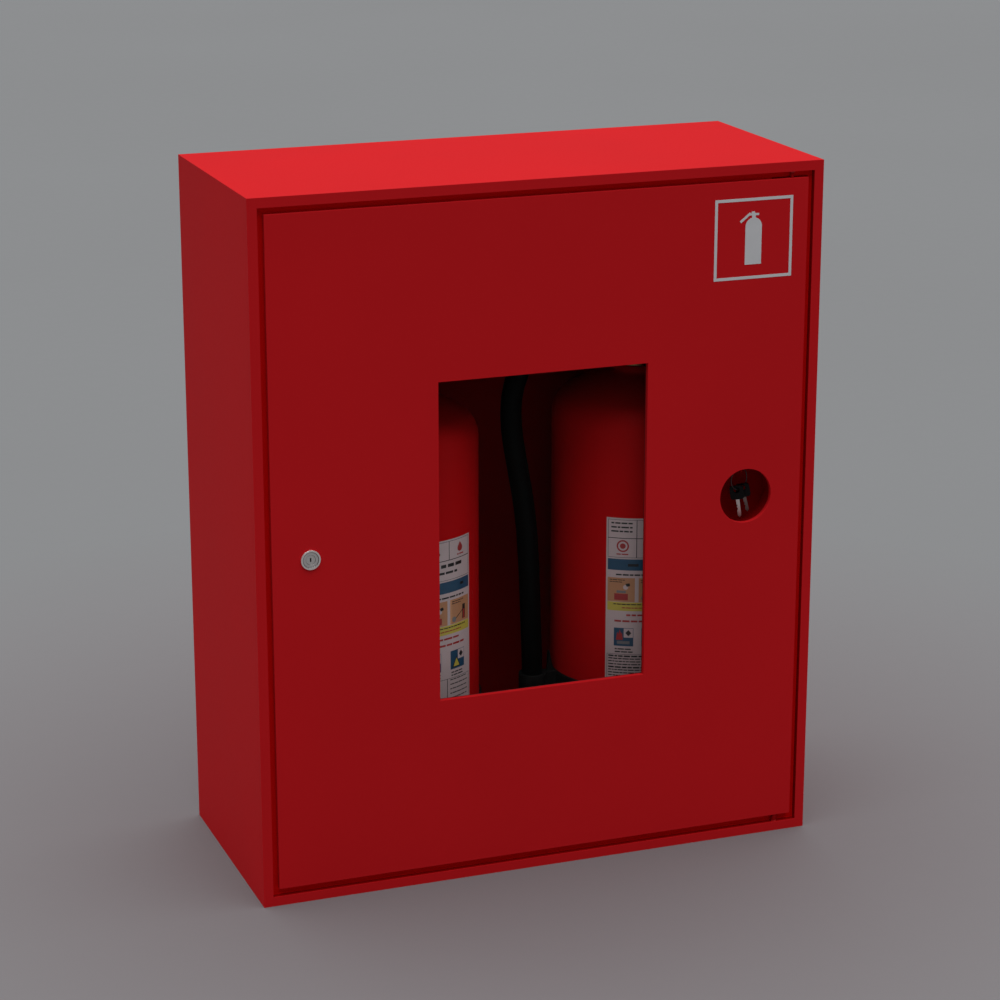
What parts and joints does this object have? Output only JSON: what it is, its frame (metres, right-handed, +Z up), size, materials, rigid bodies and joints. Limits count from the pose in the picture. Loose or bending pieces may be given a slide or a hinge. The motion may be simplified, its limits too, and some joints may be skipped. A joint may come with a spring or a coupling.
{
  "type": "fire extinguisher cabinet",
  "caption": "Folded-steel wall cabinet with a hinged, lockable, glazed door and a key recess, holding portable fire extinguishers with squeeze levers, safety pins and clipped hoses.",
  "frame": {"origin": "centre of the cabinet's base", "axes": "+X right, +Y to the back (wall), +Z up; the door faces -Y"},
  "size_m": [0.54, 0.2316, 0.65],
  "materials": {
    "red_steel": "red semi-gloss powder coat with fine orange peel",
    "bottle_red": "red gloss powder coat",
    "black_steel": "black semi-gloss powder coat",
    "zinc_steel": "bright zinc plate",
    "lock_nickel": "satin nickel plate",
    "valve_brass": "machined brass",
    "nylon": "natural nylon",
    "tube_plastic": "moulded plastic",
    "black_plastic": "moulded black plastic",
    "black_rubber": "smooth black rubber",
    "hose_rubber": "smooth black rubber hose cover",
    "powder": "fine dry powder",
    "white_film": "white self-adhesive film",
    "printed_label": "glossy printed film",
    "clear_pane": "clear glass pane"
  },
  "bodies": {
    "case": {"case_shell": "red_steel", "back_panel": "red_steel", "hinge_bushes": "nylon", "door_buffers": "black_rubber"},
    "door": {"door_panel": "red_steel", "window_pane": "clear_pane", "pane_gasket": "black_rubber", "pane_clips": "red_steel", "key_pocket": "red_steel", "key_hook": "zinc_steel", "hinge_blocks": "red_steel", "hinge_pins": "zinc_steel", "lock_housing": "lock_nickel", "lock_nut": "zinc_steel", "sign_film": "white_film"},
    "lock": {"lock_plug": "lock_nickel", "lock_cam": "zinc_steel", "cam_screw": "zinc_steel"},
    "key_ring": {"key_ring": "zinc_steel"},
    "key_a": {"key_a_bow": "black_plastic", "key_a_blade": "lock_nickel"},
    "key_b": {"key_b_bow": "black_plastic", "key_b_blade": "lock_nickel"},
    "left_extinguisher": {"left_bottle": "bottle_red", "left_powder_charge": "powder", "left_valve_body": "valve_brass", "left_dip_tube": "tube_plastic", "left_gauge": "lock_nickel", "left_gauge_lens": "clear_pane", "left_carry_handle": "black_steel", "left_lever_rivet": "zinc_steel", "left_hose_coupling": "zinc_steel", "left_hose": "hose_rubber", "left_belt": "black_rubber", "left_label": "printed_label", "left_nozzle": "black_plastic"},
    "left_lever": {"left_lever": "black_steel"},
    "left_stem": {"left_valve_stem": "lock_nickel"},
    "left_pin": {"left_safety_pin": "zinc_steel"},
    "right_extinguisher": {"right_bottle": "bottle_red", "right_powder_charge": "powder", "right_valve_body": "valve_brass", "right_dip_tube": "tube_plastic", "right_gauge": "lock_nickel", "right_gauge_lens": "clear_pane", "right_carry_handle": "black_steel", "right_lever_rivet": "zinc_steel", "right_hose_coupling": "zinc_steel", "right_hose": "hose_rubber", "right_belt": "black_rubber", "right_label": "printed_label", "right_nozzle": "black_plastic"},
    "right_lever": {"right_lever": "black_steel"},
    "right_stem": {"right_valve_stem": "lock_nickel"},
    "right_pin": {"right_safety_pin": "zinc_steel"}
  },
  "joints": [
    {"name": "door_hinge", "type": "hinge", "parent": "case", "child": "door", "pos_m": [0.24, -0.1117, 0.3255], "axis": [0, 0, 1], "range_deg": [0, 160]},
    {"name": "lock_turn", "type": "hinge", "parent": "door", "child": "lock", "pos_m": [-0.22, -0.105, 0.3254], "axis": [0, 1, 0], "range_deg": [0, 90]},
    {"name": "key_ring_swing", "type": "hinge", "parent": "door", "child": "key_ring", "pos_m": [0.2001, -0.1, 0.3613], "axis": [0, 1, 0], "range_deg": [-20, 20]},
    {"name": "key_a_swing", "type": "hinge", "parent": "key_ring", "child": "key_a", "pos_m": [0.1975, -0.10095, 0.34274], "axis": [0, 1, 0], "range_deg": [-10, 10]},
    {"name": "key_b_swing", "type": "hinge", "parent": "key_ring", "child": "key_b", "pos_m": [0.2045, -0.0984, 0.3434], "axis": [0, 1, 0], "range_deg": [-10, 10]},
    {"name": "left_lift", "type": "slide", "parent": "case", "child": "left_extinguisher", "axis": [0, 0, 1], "range_m": [0, 0.06]},
    {"name": "left_lever_squeeze", "type": "hinge", "parent": "left_extinguisher", "child": "left_lever", "pos_m": [-0.12, 0, 0.5277], "axis": [0, 1, 0], "range_deg": [0, 10], "stiffness_Nm_per_rad": 2, "springref_deg": -5.73},
    {"name": "left_stem_slide", "type": "slide", "parent": "left_extinguisher", "child": "left_stem", "axis": [0, 0, -1], "range_m": [0, 0.0025]},
    {"name": "left_pin_pull", "type": "slide", "parent": "left_extinguisher", "child": "left_pin", "axis": [0, -1, 0], "range_m": [0, 0.04]},
    {"name": "right_lift", "type": "slide", "parent": "case", "child": "right_extinguisher", "axis": [0, 0, 1], "range_m": [0, 0.06]},
    {"name": "right_lever_squeeze", "type": "hinge", "parent": "right_extinguisher", "child": "right_lever", "pos_m": [0.124, 0, 0.5277], "axis": [0, 1, 0], "range_deg": [0, 10], "stiffness_Nm_per_rad": 2, "springref_deg": -5.73},
    {"name": "right_stem_slide", "type": "slide", "parent": "right_extinguisher", "child": "right_stem", "axis": [0, 0, -1], "range_m": [0, 0.0025]},
    {"name": "right_pin_pull", "type": "slide", "parent": "right_extinguisher", "child": "right_pin", "axis": [0, -1, 0], "range_m": [0, 0.04]}
  ],
  "couplings": [
    {"joint": "left_stem_slide", "follows": "left_lever_squeeze", "m_per_rad": 0.014},
    {"joint": "right_stem_slide", "follows": "right_lever_squeeze", "m_per_rad": 0.014}
  ]
}
